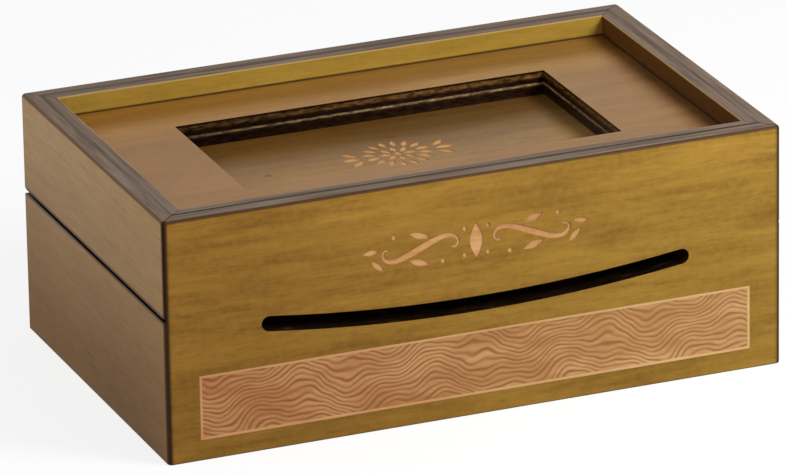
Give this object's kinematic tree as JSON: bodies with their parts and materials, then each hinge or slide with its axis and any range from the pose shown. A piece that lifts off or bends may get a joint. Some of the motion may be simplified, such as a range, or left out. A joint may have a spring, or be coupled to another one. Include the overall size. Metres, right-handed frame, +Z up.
{
  "type": "secret box",
  "caption": "Hinged plywood box with a sunk picture window in the lid, a curved slot in front and a hidden sliding bolt.",
  "frame": {"origin": "centre of the flat underside", "axes": "+X along the width to the right as seen from the front, +Y from the front to the back, +Z up"},
  "size_m": [0.155, 0.096, 0.06],
  "materials": {
    "outer_ply": "stained plywood, satin",
    "liner_ply": "stained plywood, satin",
    "tray_ply": "stained plywood, satin",
    "inner_ply": "raw plywood, matte",
    "hardwood": "bare beech, matte",
    "brass": "satin",
    "steel": "satin"
  },
  "bodies": {
    "base": {"front_panel": "outer_ply", "front_liner": "liner_ply", "bolt_keeper": "hardwood", "base_left_panel": "outer_ply", "base_right_panel": "outer_ply", "base_left_liner": "liner_ply", "base_right_liner": "liner_ply", "base_back_panel": "outer_ply", "base_back_liner": "liner_ply", "floor_panel": "inner_ply", "left_base_leaf": "brass", "right_base_leaf": "brass", "left_hinge_pin": "steel", "right_hinge_pin": "steel", "base_hinge_screws": "brass"},
    "lid": {"lid_left_panel": "outer_ply", "lid_right_panel": "outer_ply", "lid_back_panel": "outer_ply", "lid_left_liner": "liner_ply", "lid_right_liner": "liner_ply", "lid_back_liner": "liner_ply", "lid_front_liner": "liner_ply", "window_top_sheet": "tray_ply", "window_lower_sheet": "tray_ply", "slider_track": "inner_ply", "lid_cover": "inner_ply", "left_lid_leaf": "brass", "right_lid_leaf": "brass", "lid_hinge_screws": "brass"},
    "slider": {"picture_panel": "tray_ply", "left_lock_lug": "hardwood", "right_lock_lug": "hardwood"},
    "left_pin": {"left_lock_pin": "steel"},
    "right_pin": {"right_lock_pin": "steel"}
  },
  "joints": [
    {"name": "lid_hinge", "type": "hinge", "parent": "base", "child": "lid", "pos_m": [0, 0.0464, 0.0357], "axis": [-1, 0, 0], "range_deg": [0, 95]},
    {"name": "picture_slide", "type": "slide", "parent": "lid", "child": "slider", "axis": [0, -1, 0], "range_m": [0, 0.008]},
    {"name": "left_pin_slide", "type": "slide", "parent": "lid", "child": "left_pin", "axis": [1, 0, 0], "range_m": [0, 0.0046]},
    {"name": "right_pin_slide", "type": "slide", "parent": "lid", "child": "right_pin", "axis": [-1, 0, 0], "range_m": [0, 0.0046]}
  ]
}
